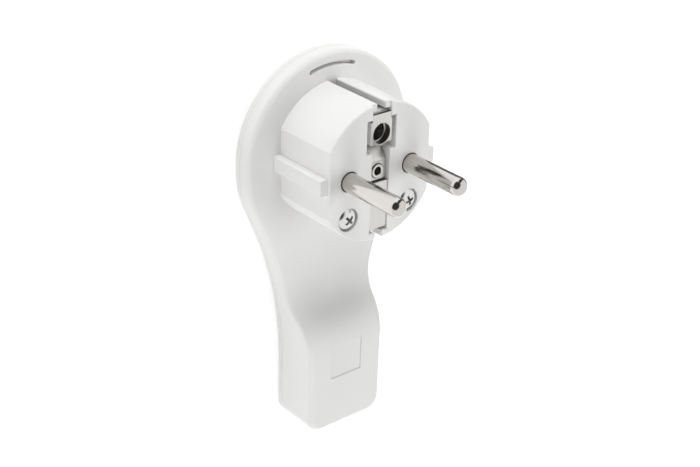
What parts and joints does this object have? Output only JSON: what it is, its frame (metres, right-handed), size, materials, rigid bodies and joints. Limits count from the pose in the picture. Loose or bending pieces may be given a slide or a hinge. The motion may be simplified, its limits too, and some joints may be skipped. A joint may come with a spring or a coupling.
{
  "type": "flat electrical plug",
  "caption": "Flat white mains plug: a round head with bare contact pins, an earth socket and side earth strips, on a thin disc that runs into a thick pull handle with a cord inlet.",
  "frame": {"origin": "on the flat back, on the axis of the round head", "axes": "+X along the line of the pins, +Y to the top of the disc with the handle running to -Y, +Z out of the head along the pins"},
  "size_m": [0.05, 0.1012, 0.0435],
  "materials": {
    "white_plastic": "smooth white moulding with a soft sheen",
    "nickel_pin": "polished nickel plating",
    "nickel_strip": "stamped strip, nickel plated",
    "plated_screw": "bright zinc plating"
  },
  "bodies": {
    "root": {"front_housing": "white_plastic", "rear_cover": "white_plastic", "cord_clamp": "white_plastic", "line_pin": "nickel_pin", "neutral_pin": "nickel_pin", "earth_sleeve": "nickel_strip", "earth_link": "nickel_strip", "earth_top_contact": "nickel_strip", "earth_bottom_contact": "nickel_strip", "earth_rivet": "nickel_strip", "terminal_screws": "plated_screw", "earth_screw": "plated_screw", "housing_screws": "plated_screw", "clamp_screws": "plated_screw"}
  },
  "joints": []
}
